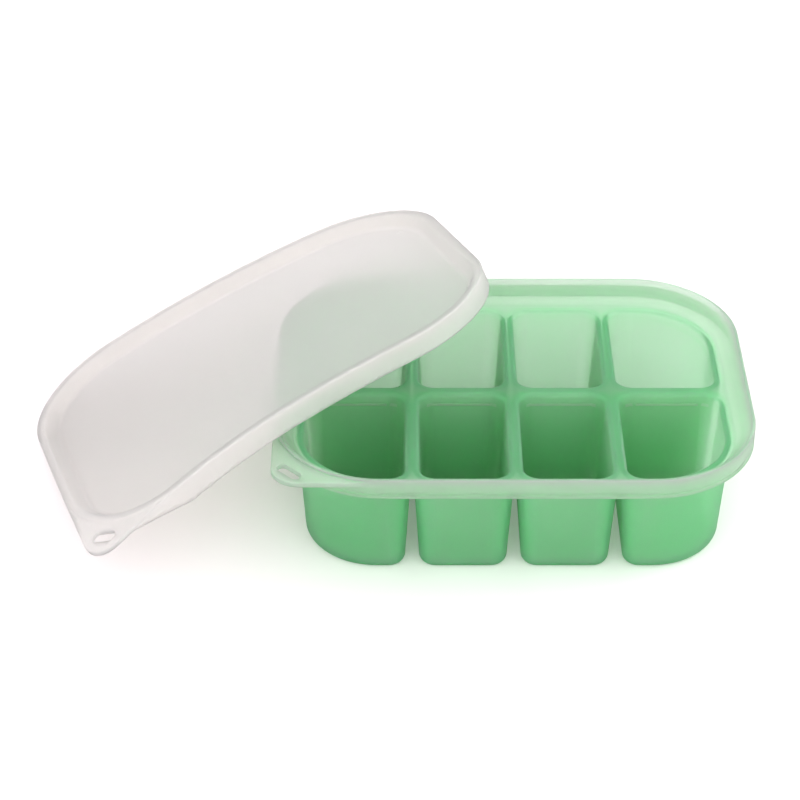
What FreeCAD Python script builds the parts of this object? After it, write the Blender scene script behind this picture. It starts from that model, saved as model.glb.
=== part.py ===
import FreeCAD, Part
import math
import os

os.makedirs("parts", exist_ok=True)

Vector = FreeCAD.Vector
UP = Vector(0, 0, 1)

# Sizes are millimetres and angles are degrees. Each moulding is first made about
# its own middle, the tray standing on z = 0 and the lid with its top at z = 0.

# Rim of the tray: a thin rounded crest with a skirt outside and a sloped collar inside
rim_length = 210.0
rim_width = 161.4
rim_corner_radius = 48.0
tray_height = 59.3
crest_thickness = 1.5
skirt_height = 9.4
skirt_thickness = 1.5
skirt_groove_depth = 0.5
skirt_groove_width = 1.6
skirt_hem_height = 1.2
collar_drop = 9.2
collar_run = 8.5
collar_wall = 2.3
collar_foot_radius = 3.0

# Cups, in columns along X and rows along Y, hung from a deck at the foot of the collar.
# The end columns have the block's round corners, so their cups are longer by end_cup_growth.
cup_columns = 4
cup_rows = 2
end_cup_growth = 5.9
deck_thickness = 2.2
cup_inset_x = 9.9
cup_inset_y = 12.3
block_corner_radius = 34.8
cup_gap = 6.5
cup_draft = 3.5
cup_corner_radius = 7.0
cup_wall = 2.1
floor_thickness = 2.1
inner_draft = 2.7
base_edge_radius = 4.0
floor_edge_radius = 3.5
mouth_edge_radius = 1.8

# Fill line: a low bar on the wall that each cup shares with the middle rib
fill_line_depth = 5.6
fill_line_length = 28.0
fill_line_height = 1.0
fill_line_relief = 0.5

# Pull tab at one corner, with a slot for a hook
tab_drop = 1.0
tab_thickness = 2.4
tab_tip_radius = 12.0
tab_edge_radius = 0.5
slot_length = 13.0
slot_width = 5.0
slot_setback = 8.0

# Lid: a dished panel with a rim that hooks over the crest and a skirt outside it
lid_wall = 1.2
lid_clearance = 0.4
lid_panel_clearance = 3.2
lid_skirt_height = 9.8
lid_bead_relief = 0.6
lid_top_radius = 0.9
lid_shoulder_radius = 1.5
lid_foot_radius = 3.0
lid_tab_thickness = 1.6
lid_tab_clearance = 0.2
lid_fin_length = 30.0
lid_bend_radius = 848.0

# The lid taken off: turned, tipped and leaning on the rim with its low end on the ground
lean_turn = 24.6
lean_tilt = -21.6
lean_roll = -13.5
lean_offset_y = 19.2
lean_clearance = 0.3

# Pieces that are fused run into each other, and cutters run past what they cut
fuse_overlap = 0.5
cut_margin = 1.0
tolerance = 0.01

# Values worked out from the sizes above
deck_top = tray_height - collar_drop
crest_radius = crest_thickness / 2
collar_slope = (collar_run - crest_thickness) / collar_drop
draft_growth = deck_top * math.tan(math.radians(cup_draft))
base_half_x = rim_length / 2 - cup_inset_x - draft_growth
base_half_y = rim_width / 2 - cup_inset_y - draft_growth
base_corner_radius = block_corner_radius - draft_growth
column_pitch = (2 * base_half_x + cup_gap - 2 * end_cup_growth) / cup_columns
row_pitch = (2 * base_half_y + cup_gap) / cup_rows
lid_growth = lid_clearance + lid_wall


def rounded_wire(corners, place):
    """Closed wire through (u, v, radius) corners; place turns u, v into a point."""
    edges = []
    ends = []
    for index, (u, v, radius) in enumerate(corners):
        corner = Vector(u, v, 0)
        before = Vector(*corners[index - 1][:2], 0) - corner
        after = Vector(*corners[(index + 1) % len(corners)][:2], 0) - corner
        before.normalize()
        after.normalize()
        half = before.getAngle(after) / 2
        if radius == 0:
            ends.append((corner, corner))
            continue
        reach = radius / math.tan(half)
        middle = (before + after).normalize() * (radius / math.sin(half) - radius)
        start = corner + before * reach
        end = corner + after * reach
        arc = Part.Arc(place(start.x, start.y), place(*(corner + middle)[:2]), place(end.x, end.y))
        edges.append(arc.toShape())
        ends.append((start, end))
    for index, (start, end) in enumerate(ends):
        last = ends[index - 1][1]
        if last.distanceToPoint(start) > 1e-6:
            edges.append(Part.makeLine(place(last.x, last.y), place(start.x, start.y)))
    return Part.Wire(Part.__sortEdges__(edges))


def ring(profile, length, width, radius):
    """Carry a profile of (outward, height, rounding) corners round a rounded rectangle."""
    pieces = []
    centres = []
    for sign_x, sign_y in ((1, 1), (-1, 1), (-1, -1), (1, -1)):
        centres.append(Vector(sign_x * (length / 2 - radius), sign_y * (width / 2 - radius), 0))
    for index, centre in enumerate(centres):
        following = centres[(index + 1) % len(centres)]
        for turn, sweep in ((index, None), (index + 1, following - centre)):
            angle = math.radians(90 * turn)
            outward = Vector(math.cos(angle), math.sin(angle), 0)
            root = centre + outward * radius
            face = Part.Face(rounded_wire(profile, lambda u, v: root + outward * u + UP * v))
            pieces.append(face.revolve(centre, UP, 90) if sweep is None else face.extrude(sweep))
    return pieces[0].multiFuse(pieces[1:]).removeSplitter()


def outline(x_low, x_high, y_low, y_high, radii, z):
    """Rectangle at height z whose radii run anticlockwise from the low, low corner."""
    spots = ((x_low, y_low), (x_high, y_low), (x_high, y_high), (x_low, y_high))
    corners = [(x, y, radius) for (x, y), radius in zip(spots, radii)]
    return rounded_wire(corners, lambda u, v: Vector(u, v, z))


def slab(length, width, radius, z_low, z_high):
    wire = outline(-length / 2, length / 2, -width / 2, width / 2, [radius] * 4, z_low)
    return Part.Face(wire).extrude(UP * (z_high - z_low))


def edges_at(shape, z):
    """Edges that lie in the level plane at height z."""
    level = []
    for edge in shape.Edges:
        if abs(edge.BoundBox.ZMin - z) < tolerance and abs(edge.BoundBox.ZMax - z) < tolerance:
            level.append(edge)
    return level


def cup_outline(column, row, growth, z):
    """A cup's foot outline, grown on every side, at height z."""
    def limits(index, count, pitch, base_half):
        low = (index - count / 2) * pitch + cup_gap / 2 - growth
        high = (index + 1 - count / 2) * pitch - cup_gap / 2 + growth
        if index == 0:
            low = -base_half - growth
        if index == count - 1:
            high = base_half + growth
        return low, high

    x_low, x_high = limits(column, cup_columns, column_pitch, base_half_x)
    y_low, y_high = limits(row, cup_rows, row_pitch, base_half_y)
    inner_radius = cup_corner_radius + growth
    room = min(x_high - x_low, y_high - y_low) - inner_radius
    block_radius = min(base_corner_radius + growth, room)
    last_column = cup_columns - 1
    last_row = cup_rows - 1
    radii = []
    for block_corner in ((0, 0), (last_column, 0), (last_column, last_row), (0, last_row)):
        radii.append(block_radius if (column, row) == block_corner else inner_radius)
    return outline(x_low, x_high, y_low, y_high, radii, z)


def cup_body(column, row):
    top = deck_top - deck_thickness / 2
    foot = cup_outline(column, row, 0, 0)
    head = cup_outline(column, row, top * math.tan(math.radians(cup_draft)), top)
    body = Part.makeLoft([foot, head], True, True)
    return body.makeFillet(base_edge_radius, edges_at(body, 0))


def cup_cavity(column, row):
    wires = []
    for z in (floor_thickness, deck_top + mouth_edge_radius):
        growth = z * math.tan(math.radians(inner_draft)) - cup_wall
        wires.append(cup_outline(column, row, growth, z))
    cavity = Part.makeLoft(wires, True, True)
    return cavity.makeFillet(floor_edge_radius, edges_at(cavity, floor_thickness))


def fill_line(column, row):
    """Low bar on the wall of the middle rib, at the full level of the cup."""
    z = deck_top - fill_line_depth
    wire = cup_outline(column, row, z * math.tan(math.radians(inner_draft)) - cup_wall, z)
    box = wire.BoundBox
    wall_y = box.YMax if row < cup_rows / 2 else box.YMin
    inward = -1 if row < cup_rows / 2 else 1
    corners = []
    for along, off in ((-1, -1), (1, -1), (1, 1), (-1, 1)):
        across = fill_line_relief if off > 0 else -cup_wall / 2
        x = (box.XMin + box.XMax) / 2 + along * fill_line_length / 2
        corners.append(Vector(x, wall_y + inward * across, z - fill_line_height / 2))
    return Part.Face(Part.makePolygon(corners + corners[:1])).extrude(UP * fill_line_height)


def corner_centre(z):
    """Centre of the rim's curve at the corner that has the tab."""
    return Vector(rim_corner_radius - rim_length / 2, rim_corner_radius - rim_width / 2, z)


def tab_plate(growth, bite_radius, z_low, z_high):
    """Plate that fills one corner of the rim's outline out to a blunt tip, with its slot."""
    x_low = -rim_length / 2 - growth
    y_low = -rim_width / 2 - growth
    reach = rim_corner_radius + growth
    radii = [tab_tip_radius + growth, 0, 0, 0]
    wire = outline(x_low, x_low + reach, y_low, y_low + reach, radii, z_low)
    plate = Part.Face(wire).extrude(UP * (z_high - z_low))
    rounded = []
    for edge in edges_at(plate, z_high):
        middle = edge.BoundBox.Center
        if middle.x + middle.y < x_low + y_low + reach + tab_edge_radius:
            rounded.append(edge)
    plate = plate.makeFillet(tab_edge_radius, rounded)
    plate = plate.cut(Part.makeCylinder(bite_radius, z_high - z_low, corner_centre(z_low)))
    return plate.cut(hook_slot(z_low - cut_margin, z_high + cut_margin))


def hook_slot(z_low, z_high):
    """Round-ended slot square to the corner's diagonal."""
    middle = Vector(slot_setback - rim_length / 2, slot_setback - rim_width / 2, z_low)
    half_x = slot_length / 2
    half_y = slot_width / 2
    wire = outline(-half_x, half_x, -half_y, half_y, [half_y] * 4, 0)
    slot = Part.Face(wire).extrude(UP * (z_high - z_low))
    slot.Placement = FreeCAD.Placement(middle, FreeCAD.Rotation(UP, -45))
    return slot


def collar_at(z):
    """How far outward the collar's sloped face lies, at z above the crest's top."""
    return z * collar_slope - crest_thickness


def make_tray():
    groove_low = -skirt_height + skirt_hem_height
    groove_high = groove_low + skirt_groove_width
    under_deck = -collar_drop - deck_thickness
    under_crest = (crest_thickness - collar_wall - skirt_thickness) / collar_slope
    profile = [
        (0, -skirt_height, 0),
        (0, groove_low, 0),
        (-skirt_groove_depth, (groove_low + groove_high) / 2, 0),
        (0, groove_high, 0),
        (0, 0, crest_radius),
        (-crest_thickness, 0, crest_radius),
        (-collar_run, -collar_drop, collar_foot_radius),
        (-collar_run - collar_foot_radius, -collar_drop, 0),
        (-collar_run - collar_foot_radius, under_deck, 0),
        (collar_at(under_deck) + collar_wall, under_deck, 0),
        (-skirt_thickness, under_crest, 0),
        (-skirt_thickness, -skirt_height, 0),
    ]
    rim = ring(profile, rim_length, rim_width, rim_corner_radius)
    rim.translate(UP * tray_height)
    inset = collar_run + collar_foot_radius - fuse_overlap
    deck = slab(rim_length - 2 * inset, rim_width - 2 * inset, rim_corner_radius - inset,
                deck_top - deck_thickness, deck_top)
    tab_top = tray_height - tab_drop
    tab_bite = rim_corner_radius - crest_radius
    solids = [deck, tab_plate(0, tab_bite, tab_top - tab_thickness, tab_top)]
    cups = [(column, row) for column in range(cup_columns) for row in range(cup_rows)]
    solids += [cup_body(column, row) for column, row in cups]
    tray = rim.multiFuse(solids)
    tray = tray.cut(Part.makeCompound([cup_cavity(column, row) for column, row in cups]))
    tray = tray.removeSplitter()
    for face in tray.Faces:
        if len(face.Wires) > len(cups) and abs(face.BoundBox.ZMax - deck_top) < tolerance:
            mouths = [wire for wire in face.Wires if not wire.isSame(face.OuterWire)]
    tray = tray.makeFillet(mouth_edge_radius, [edge for wire in mouths for edge in wire.Edges])
    tray = tray.multiFuse([fill_line(column, row) for column, row in cups])
    return tray.removeSplitter()


def make_lid():
    """The lid with its top at z = 0, hanging down as it would over the tray."""
    length = rim_length + 2 * lid_growth
    width = rim_width + 2 * lid_growth
    radius = rim_corner_radius + lid_growth
    panel_under = -lid_wall - collar_drop + lid_panel_clearance
    panel_top = panel_under + lid_wall
    across = lid_wall * math.hypot(1, collar_slope)

    def under(z):
        return collar_at(z + lid_wall) - lid_growth - lid_clearance

    rim_profile = [
        (0, -lid_wall, 0),
        (0, 0, lid_top_radius),
        (under(0) - across, 0, lid_shoulder_radius),
        (under(panel_top) - across, panel_top, lid_foot_radius),
        (under(panel_top) - across - lid_foot_radius, panel_top, 0),
        (under(panel_top) - across - lid_foot_radius, panel_under, 0),
        (under(panel_under), panel_under, lid_foot_radius),
        (under(-lid_wall), -lid_wall, 0),
    ]
    rim = ring(rim_profile, length, width, radius)
    bead_high = -lid_wall - skirt_height + skirt_hem_height + skirt_groove_width
    bead_middle = bead_high - skirt_groove_width / 2
    skirt_profile = [
        (0, -lid_skirt_height, 0),
        (0, -lid_top_radius, 0),
        (-lid_wall, -lid_top_radius, 0),
        (-lid_wall, bead_high, 0),
        (-lid_wall - lid_bead_relief, bead_middle, 0),
        (-lid_wall, -lid_skirt_height, 0),
    ]
    skirt = ring(skirt_profile, length, width, radius)
    tab_low = -lid_wall - tab_drop + lid_tab_clearance
    skirt = skirt.cut(corner_box(tab_low))
    front_fin = skirt_fin(tab_low + lid_tab_thickness / 2)
    side_fin = front_fin.mirror(corner_centre(0), Vector(1, -1, 0))
    inset = across + lid_foot_radius - fuse_overlap - under(panel_top)
    panel = slab(length - 2 * inset, width - 2 * inset, radius - inset, panel_under, panel_top)
    tab_bite = rim_corner_radius + lid_clearance
    tab = tab_plate(lid_growth, tab_bite, tab_low, tab_low + lid_tab_thickness)
    return rim.multiFuse([skirt, panel, tab, front_fin, side_fin]).removeSplitter()


def corner_box(top):
    """Box at the tab's corner, below top, where the skirt makes way for the tray's tab."""
    side = rim_corner_radius + lid_growth + cut_margin
    reach = Vector(side, side, lid_skirt_height)
    return Part.makeBox(*reach, corner_centre(top) - reach)


def skirt_fin(top):
    """End of the skirt that runs on along the tab's front edge and tapers out."""
    start = corner_centre(top)
    start.y = -rim_width / 2 - lid_growth
    foot = Vector(start.x, start.y, -lid_skirt_height)
    tip = start - Vector(lid_fin_length, 0, 0)
    return Part.Face(Part.makePolygon([start, foot, tip, start])).extrude(Vector(0, lid_wall, 0))


def bend(lid):
    """Let the soft lid sag: its middle bends on a large radius and its ends stay flat."""
    straight = rim_length / 2 - rim_corner_radius
    angle = math.degrees(straight / lid_bend_radius)
    pivot = UP * -lid_bend_radius
    across = Vector(0, 1, 0)
    section = Part.Face(lid.slice(Vector(1, 0, 0), 0)[0])
    section.rotate(pivot, across, -angle)
    ends = []
    for side in (-1, 1):
        block = Part.makeBox(rim_length, 2 * rim_width, 2 * lid_skirt_height)
        block.translate(Vector(side * (straight + rim_length / 2), 0, 0) - block.BoundBox.Center)
        end = lid.common(block)
        end.translate(Vector(-side * straight, 0, 0))
        end.rotate(pivot, across, side * angle)
        ends.append(end)
    return section.revolve(pivot, across, 2 * angle).multiFuse(ends).removeSplitter()


def lean(lid):
    """Turn and tip the lid, stand its low end on the ground and lean it on the tray's rim."""
    half_x = rim_length / 2 - crest_radius
    half_y = rim_width / 2 - crest_radius
    radii = [rim_corner_radius - crest_radius] * 4
    crest = outline(-half_x, half_x, -half_y, half_y, radii, tray_height - crest_radius)
    lid.Placement = FreeCAD.Placement(Vector(), FreeCAD.Rotation(lean_turn, lean_tilt, lean_roll))
    box = lid.optimalBoundingBox(False)
    lid.translate(Vector(-rim_length / 2 - box.XMax, lean_offset_y, -box.ZMin))
    wanted = crest_radius + lean_clearance
    gap = lid.distToShape(crest)[0]
    while gap > wanted + tolerance:
        lid.translate(Vector(gap - wanted, 0, 0))
        gap = lid.distToShape(crest)[0]
    return lid


pieces = {"tray": make_tray(), "lid": lean(bend(make_lid()))}
box = Part.makeCompound(list(pieces.values())).optimalBoundingBox(False)
to_origin = Vector(-box.Center.x, -box.Center.y, -box.ZMin)
for name, piece in pieces.items():
    piece.translate(to_origin)
    piece.Solids[0].exportStep(f"parts/{name}.step")
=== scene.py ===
import math

import bmesh
import bpy
from mathutils import Euler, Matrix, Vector


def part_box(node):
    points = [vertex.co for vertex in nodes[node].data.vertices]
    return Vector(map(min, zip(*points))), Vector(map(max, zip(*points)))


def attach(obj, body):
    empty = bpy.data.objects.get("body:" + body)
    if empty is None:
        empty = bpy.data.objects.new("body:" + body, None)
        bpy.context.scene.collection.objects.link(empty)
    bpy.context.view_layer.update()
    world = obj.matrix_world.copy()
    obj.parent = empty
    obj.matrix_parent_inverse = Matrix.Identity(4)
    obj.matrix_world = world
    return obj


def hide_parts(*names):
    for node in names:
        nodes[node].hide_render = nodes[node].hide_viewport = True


# All lengths are metres and all angles are degrees.

# How the lid's solid leans, to take its shape back to the level, and how the lid really lies,
# with the middle of its top at this place from the middle of the tray's foot
SOLID_LEAN = {"turn": 24.6, "tilt": -21.6, "roll": -13.5}
LID_LEAN = {"turn": 21.63, "tilt": -21.62, "roll": -13.28}
LID_MIDDLE = Vector((-0.1194, 0.0227, 0.0622))

# How the thin silicone gives on top of the solid's own bend: both ends droop a little more,
# the two diagonals twist against each other, and the corner with the tab hangs lower.
LID_DROOP = -0.0015
LID_TWIST = -0.0026
LID_CORNER_SAG = -0.0094

# The lid's mesh: its longest edge, how often an edge may be halved to get there, the distance
# at which its points count as one, and the angle from which an edge stays sharp
LID_EDGE_LENGTH = 0.004
MOST_HALVINGS = 8
SAME_POINT = 1e-6
SHARP_ANGLE = 35.0

# Moulded silicone: its shades, the tint and the share of the light that goes straight through
# it, how rough its skin is, and how far the rest of the light wanders inside. The green is
# painted deep at the tray's foot and pale at its crest, as painted shade low down and a
# painted sheen at the crest: each shade stands at a share of the height.
# The white's shades stand along its clouds.
GREEN = {
    "shades": ((0.0, (0.31, 0.86, 0.41)), (0.5, (0.36, 0.89, 0.46)),
               (0.84, (0.38, 0.87, 0.47)), (0.92, (0.52, 0.79, 0.57)),
               (0.98, (0.88, 0.91, 0.87))),
    "glass": (0.79, 0.95, 0.81),
    "clarity": 0.55,
    "roughness": 0.34,
    "depth": 0.03,
}
WHITE = {
    "shades": ((0.3, (0.99, 0.935, 0.905)), (0.7, (1.0, 0.97, 0.945))),
    "glass": (0.97, 0.945, 0.93),
    "clarity": 0.58,
    "roughness": 0.6,
    "depth": 0.005,
}

# Both silicones bend light this much, and all the light that doesn't go straight through
# wanders inside, equally far in red, green and blue.
SOFT_IOR = 1.2
WANDERING_SHARE = 1.0
WANDERING_BY_COLOUR = (1.0, 1.0, 1.0)

# Where a ramp's new shade stands until it is given its own place
NEW_SHADE_PLACE = 0.5

# Unevenness of the silicone: the scale and detail of its clouds, its satin and its grain, the
# range in which most of a noise lies, and what each of them does to height and roughness
CLOUDS = (14.0, 3.0)
SATIN = (55.0, 4.0)
GRAIN = (1400.0, 2.0)
NOISE_RANGE = (0.3, 0.7)
CLOUD_HEIGHT = (-0.025, 0.025)
SATIN_SPREAD = 0.04
GRAIN_STRENGTH = 0.10
GRAIN_HEIGHT = 0.0002

# Where the green is thick it gets a deeper painted shade, for the light lost in more silicone:
# the shade, how far its thickness is felt for, and the measure from which it starts and at
# which it is full
THICK_PAINTED_SHADE = (0.10, 0.84, 0.22)
THICK_REACH = 0.014
THICK_RANGE = (0.03, 0.15)
THICK_SAMPLES = 8

# The skirt outside the rim gets a paler painted sheen, between these shares of the tray's
# height and as far as its faces look away from the tray's middle
SKIRT_PAINTED_SHEEN = (0.81, 0.93, 0.83)
SKIRT_RANGE = (0.845, 0.865)
OUTWARD_RANGE = (0.0, 0.05)

# The fill lines get a painted highlight where their crests catch the light: its shade, their
# height, how far their crests stand from the plane between the two rows, and how far the
# painted band reaches up and down, and in and out
LINE_PAINTED_HIGHLIGHT = (0.75, 1.0, 0.80)
LINE_HEIGHT = 0.0445
LINE_FROM_MIDDLE = 0.0038
LINE_REACH_UP = 0.0008
LINE_REACH_OUT = 0.0005

# Light: even white surroundings, brighter in front of the tray than behind it, and one lamp
TENT_SHADE = (1.0, 1.0, 1.0)
BRIGHT_IN_FRONT = 1.65
BRIGHT_BEHIND = 0.8
FRONT_TO_BEHIND = (-1.0, 1.0)
LAMP_PLACE = Vector((1.3, 0.3, 0.9))
LAMP_SIZE = 0.9
LAMP_POWER = 5.0

# The floor, from its middle to its sides, and how much lighter the camera sees it
FLOOR_REACH = 6.0
FLOOR_SHADE = (0.94, 0.88, 0.91)
FLOOR_LIFT = 0.14

# The camera: its place from the middle of the tray's foot, its turn about X when it looks
# level, and how far it looks down from there
CAMERA_PLACE = Vector((-0.0500, -0.8938, 0.6650))
CAMERA_LEVEL = 90.0
CAMERA_PITCH = 34.76
CAMERA_LENS = 108.58
CAMERA_SENSOR = 36.0
CAMERA_REACH = 50.0


def add(tree, kind, inputs, **settings):
    """New shader node, with each of its inputs linked to an output or set to a value."""
    node = tree.nodes.new("ShaderNode" + kind)
    for name, value in settings.items():
        setattr(node, name, value)
    for name, value in inputs.items():
        if isinstance(value, bpy.types.NodeSocket):
            tree.links.new(value, node.inputs[name])
        else:
            node.inputs[name].default_value = value
    return node


def opaque(shade):
    """The shade as a colour that hides what is behind it."""
    return (*shade, 1)


def coordinate(tree, kind):
    """Place, normal or direction of each point, as this kind of coordinate gives it."""
    return add(tree, "TexCoord", {}).outputs[kind]


def axis_of(tree, place, axis):
    """One axis of a place or direction."""
    return add(tree, "SeparateXYZ", {"Vector": place}).outputs[axis]


def math_of(tree, operation, *values):
    """Result of one operation on values."""
    return add(tree, "Math", dict(enumerate(values)), operation=operation).outputs["Value"]


def ranged(tree, value, source, target=(0.0, 1.0), **settings):
    """Map a value from one range onto another."""
    ends = {"Value": value, "From Min": source[0], "From Max": source[1],
            "To Min": target[0], "To Max": target[1]}
    return add(tree, "MapRange", ends, **settings).outputs["Result"]


def noise(tree, scale, detail):
    """Noise over the object's own space."""
    inputs = {"Vector": coordinate(tree, "Object"), "Scale": scale, "Detail": detail}
    return add(tree, "TexNoise", inputs).outputs["Fac"]


def blended(tree, share, shade, other):
    """Blend a set shade into another one by a share."""
    inputs = {"Fac": share, "Color1": shade, "Color2": opaque(other)}
    return add(tree, "MixRGB", inputs).outputs["Color"]


def tint(tree, value, shades):
    """Blend shades that each stand at their own place along a value."""
    node = add(tree, "ValToRGB", {"Fac": value})
    elements = node.color_ramp.elements
    while len(elements) < len(shades):
        elements.new(NEW_SHADE_PLACE)
    for element, (position, shade) in zip(elements, shades):
        element.position = position
        element.color = opaque(shade)
    return node.outputs["Color"]


def cloudy_height(tree, height):
    """Share of the height at each point, made uneven by the clouds."""
    level = axis_of(tree, coordinate(tree, "Object"), "Z")
    clouds = ranged(tree, noise(tree, *CLOUDS), NOISE_RANGE, CLOUD_HEIGHT)
    return math_of(tree, "MULTIPLY_ADD", level, 1 / height, clouds)


def painted_shade_where_thick(tree, shade):
    """Paint a deeper shade where the moulding is thick: painted shade at corners, ribs and
    joints of walls.
    """
    thick = add(tree, "AmbientOcclusion", {"Distance": THICK_REACH},
                samples=THICK_SAMPLES, inside=True, only_local=True)
    share = ranged(tree, thick.outputs["AO"], THICK_RANGE)
    return blended(tree, share, shade, THICK_PAINTED_SHADE)


def painted_sheen_on_skirt(tree, shade, level, middle):
    """Paint a paler sheen on the faces near the rim that look away from the middle."""
    offset = add(tree, "VectorMath", {0: coordinate(tree, "Object"), 1: middle},
                 operation="SUBTRACT").outputs["Vector"]
    facing = add(tree, "VectorMath", {0: offset, 1: coordinate(tree, "Normal")},
                 operation="DOT_PRODUCT").outputs["Value"]
    share = math_of(tree, "MULTIPLY", ranged(tree, facing, OUTWARD_RANGE),
                    ranged(tree, level, SKIRT_RANGE))
    return blended(tree, share, shade, SKIRT_PAINTED_SHEEN)


def painted_fill_line_highlights(tree, shade, middle):
    """Paint a highlight on the crests of the fill lines on both sides of the middle rib."""
    place = coordinate(tree, "Object")
    across = math_of(tree, "SUBTRACT", axis_of(tree, place, "Y"), middle.y)
    away = math_of(tree, "ABSOLUTE", across)
    level = axis_of(tree, place, "Z")
    on_crest = math_of(tree, "COMPARE", away, LINE_FROM_MIDDLE, LINE_REACH_OUT)
    on_line = math_of(tree, "COMPARE", level, LINE_HEIGHT, LINE_REACH_UP)
    return blended(tree, math_of(tree, "MULTIPLY", on_crest, on_line), shade, LINE_PAINTED_HIGHLIGHT)


def fresh_material(name):
    """New material with an empty node tree."""
    material = bpy.data.materials.new(name)
    material.use_nodes = True
    material.node_tree.nodes.clear()
    return material, material.node_tree


def frost(tree, looks, shade):
    """Satin skin with a fine grain, over a shade that lets part of the light come through."""
    rough = looks["roughness"]
    satin = ranged(tree, noise(tree, *SATIN), NOISE_RANGE,
                   (rough - SATIN_SPREAD, rough + SATIN_SPREAD))
    grain = add(tree, "Bump", {"Strength": GRAIN_STRENGTH, "Distance": GRAIN_HEIGHT,
                               "Height": noise(tree, *GRAIN)})
    skin = {"Roughness": satin, "IOR": SOFT_IOR, "Normal": grain.outputs["Normal"]}
    body = add(tree, "BsdfPrincipled", {
        **skin, "Base Color": shade, "Subsurface Weight": WANDERING_SHARE,
        "Subsurface Radius": WANDERING_BY_COLOUR, "Subsurface Scale": looks["depth"]})
    through = add(tree, "BsdfRefraction", {**skin, "Color": opaque(looks["glass"])})
    both = add(tree, "MixShader", {
        "Fac": looks["clarity"], 1: body.outputs["BSDF"], 2: through.outputs["BSDF"]})
    add(tree, "OutputMaterial", {"Surface": both.outputs["Shader"]})


def green_silicone(foot, height):
    """The tray's silicone: a shade that goes with the height and the thickness, as painted
    shade and sheen, with painted highlights on the fill lines.
    """
    material, tree = fresh_material("green_silicone")
    crest = foot + Vector((0, 0, height))
    level = cloudy_height(tree, height)
    shade = painted_shade_where_thick(tree, tint(tree, level, GREEN["shades"]))
    shade = painted_sheen_on_skirt(tree, shade, level, crest)
    frost(tree, GREEN, painted_fill_line_highlights(tree, shade, crest))
    return material


def white_silicone():
    """The lid's silicone: a clouded white."""
    material, tree = fresh_material("frosted_silicone")
    frost(tree, WHITE, tint(tree, noise(tree, *CLOUDS), WHITE["shades"]))
    return material


def placed(name, data):
    """New object in the scene."""
    thing = bpy.data.objects.new(name, data)
    bpy.context.scene.collection.objects.link(thing)
    return thing


def set_material(piece, material):
    """Give a piece this one material on every face."""
    piece.data.materials.clear()
    piece.data.materials.append(material)
    for face in piece.data.polygons:
        face.material_index = 0


def rotation(lean):
    """Rotation that leans a level piece: roll first, then tilt, then turn."""
    angles = [math.radians(lean[part]) for part in ("roll", "tilt", "turn")]
    return Euler(angles, "XYZ").to_matrix()


def split_long_edges(mesh, longest):
    """Halve every edge until none is longer than this, so that flat faces can bend."""
    for _ in range(MOST_HALVINGS):
        long_edges = [edge for edge in mesh.edges if edge.calc_length() > longest]
        if not long_edges:
            return
        bmesh.ops.subdivide_edges(mesh, edges=long_edges, cuts=1)
        bmesh.ops.triangulate(mesh, faces=mesh.faces)


def flexed_lid(solid, foot):
    """The lid as it lies in use: the solid's own shape with the give of the soft wall."""
    mesh = bmesh.new()
    mesh.from_mesh(solid.data)
    bmesh.ops.remove_doubles(mesh, verts=mesh.verts, dist=SAME_POINT)
    split_long_edges(mesh, LID_EDGE_LENGTH)
    level = rotation(SOLID_LEAN).transposed()
    for vertex in mesh.verts:
        vertex.co = level @ vertex.co
    low = Vector([min(vertex.co[axis] for vertex in mesh.verts) for axis in range(3)])
    high = Vector([max(vertex.co[axis] for vertex in mesh.verts) for axis in range(3)])
    middle = Vector(((low.x + high.x) / 2, (low.y + high.y) / 2, high.z))
    lean = rotation(LID_LEAN)
    for vertex in mesh.verts:
        place = vertex.co - middle
        along = place.x / (high.x - middle.x)
        across = place.y / (high.y - middle.y)
        corner = min(along, 0) ** 2 * min(across, 0) ** 2
        place.z += LID_DROOP * along ** 2 + LID_TWIST * along * across + LID_CORNER_SAG * corner
        vertex.co = foot + LID_MIDDLE + lean @ place
    data = bpy.data.meshes.new("lid_flexed")
    mesh.to_mesh(data)
    mesh.free()
    data.shade_smooth()
    data.set_sharp_from_angle(angle=math.radians(SHARP_ANGLE))
    return placed("lid_flexed", data)


def ground(foot):
    """Pale matt floor, wide enough to fill every view, a little lighter to the camera."""
    corners = [foot + Vector((x * FLOOR_REACH, y * FLOOR_REACH, 0))
               for x, y in ((-1, -1), (1, -1), (1, 1), (-1, 1))]
    data = bpy.data.meshes.new("ground")
    data.from_pydata(corners, [], [(0, 1, 2, 3)])
    floor = placed("ground", data)
    material, tree = fresh_material("pale_floor")
    matt = add(tree, "BsdfDiffuse", {"Color": opaque(FLOOR_SHADE)})
    seen = add(tree, "LightPath", {}).outputs["Is Camera Ray"]
    glow = add(tree, "Emission", {"Strength": math_of(tree, "MULTIPLY", seen, FLOOR_LIFT)})
    both = add(tree, "AddShader", {0: matt.outputs["BSDF"], 1: glow.outputs["Emission"]})
    add(tree, "OutputMaterial", {"Surface": both.outputs["Shader"]})
    set_material(floor, material)


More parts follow.
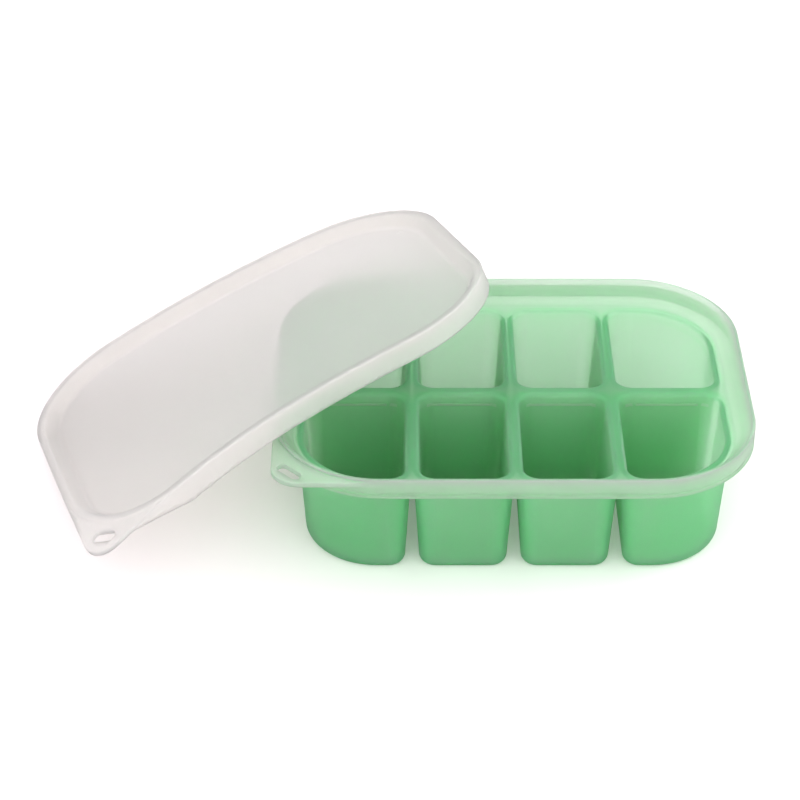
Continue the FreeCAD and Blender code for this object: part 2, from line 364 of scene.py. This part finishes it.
def surroundings():
    """White tent: plain white to the camera, brighter in front of the tray for all else."""
    world = bpy.data.worlds.new("white_tent")
    bpy.context.scene.world = world
    world.use_nodes = True
    tree = world.node_tree
    tree.nodes.clear()
    forward = axis_of(tree, coordinate(tree, "Generated"), "Y")
    strength = ranged(tree, forward, FRONT_TO_BEHIND, (BRIGHT_IN_FRONT, BRIGHT_BEHIND),
                      interpolation_type="SMOOTHSTEP")
    lit = add(tree, "Background", {"Color": opaque(TENT_SHADE), "Strength": strength})
    seen = add(tree, "Background", {"Color": opaque(TENT_SHADE)})
    both = add(tree, "MixShader", {
        "Fac": add(tree, "LightPath", {}).outputs["Is Camera Ray"],
        1: lit.outputs["Background"], 2: seen.outputs["Background"]})
    add(tree, "OutputWorld", {"Surface": both.outputs["Shader"]})


def softbox(foot):
    """One large lamp, behind the tray and to its right."""
    lamp = bpy.data.lights.new("softbox", "AREA")
    lamp.shape = "DISK"
    lamp.size = LAMP_SIZE
    lamp.energy = LAMP_POWER
    box = placed("softbox", lamp)
    box.location = foot + LAMP_PLACE
    box.rotation_euler = LAMP_PLACE.to_track_quat("Z", "Y").to_euler()


def camera(foot):
    """The camera, which looks along Y and down."""
    data = bpy.data.cameras.new("camera")
    data.sensor_width = CAMERA_SENSOR
    data.lens = CAMERA_LENS
    data.clip_end = CAMERA_REACH
    viewer = placed("camera", data)
    viewer.location = foot + CAMERA_PLACE
    viewer.rotation_euler = (math.radians(CAMERA_LEVEL - CAMERA_PITCH), 0, 0)
    bpy.context.scene.camera = viewer


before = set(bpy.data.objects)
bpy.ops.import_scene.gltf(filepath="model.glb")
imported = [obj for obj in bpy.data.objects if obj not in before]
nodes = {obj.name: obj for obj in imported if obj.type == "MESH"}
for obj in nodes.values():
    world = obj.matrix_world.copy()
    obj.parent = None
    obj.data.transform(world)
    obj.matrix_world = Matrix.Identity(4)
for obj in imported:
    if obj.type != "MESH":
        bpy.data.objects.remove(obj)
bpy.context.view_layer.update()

tray_low, tray_high = (Vector(corner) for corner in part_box("tray"))
foot = Vector(((tray_low.x + tray_high.x) / 2, (tray_low.y + tray_high.y) / 2, 0))

set_material(nodes["tray"], green_silicone(foot, tray_high.z))
lid = flexed_lid(nodes["lid"], foot)
set_material(lid, white_silicone())
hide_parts("lid")
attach(lid, "lid")

ground(foot)
surroundings()
softbox(foot)
camera(foot)

bpy.context.scene.view_settings.view_transform = "Standard"
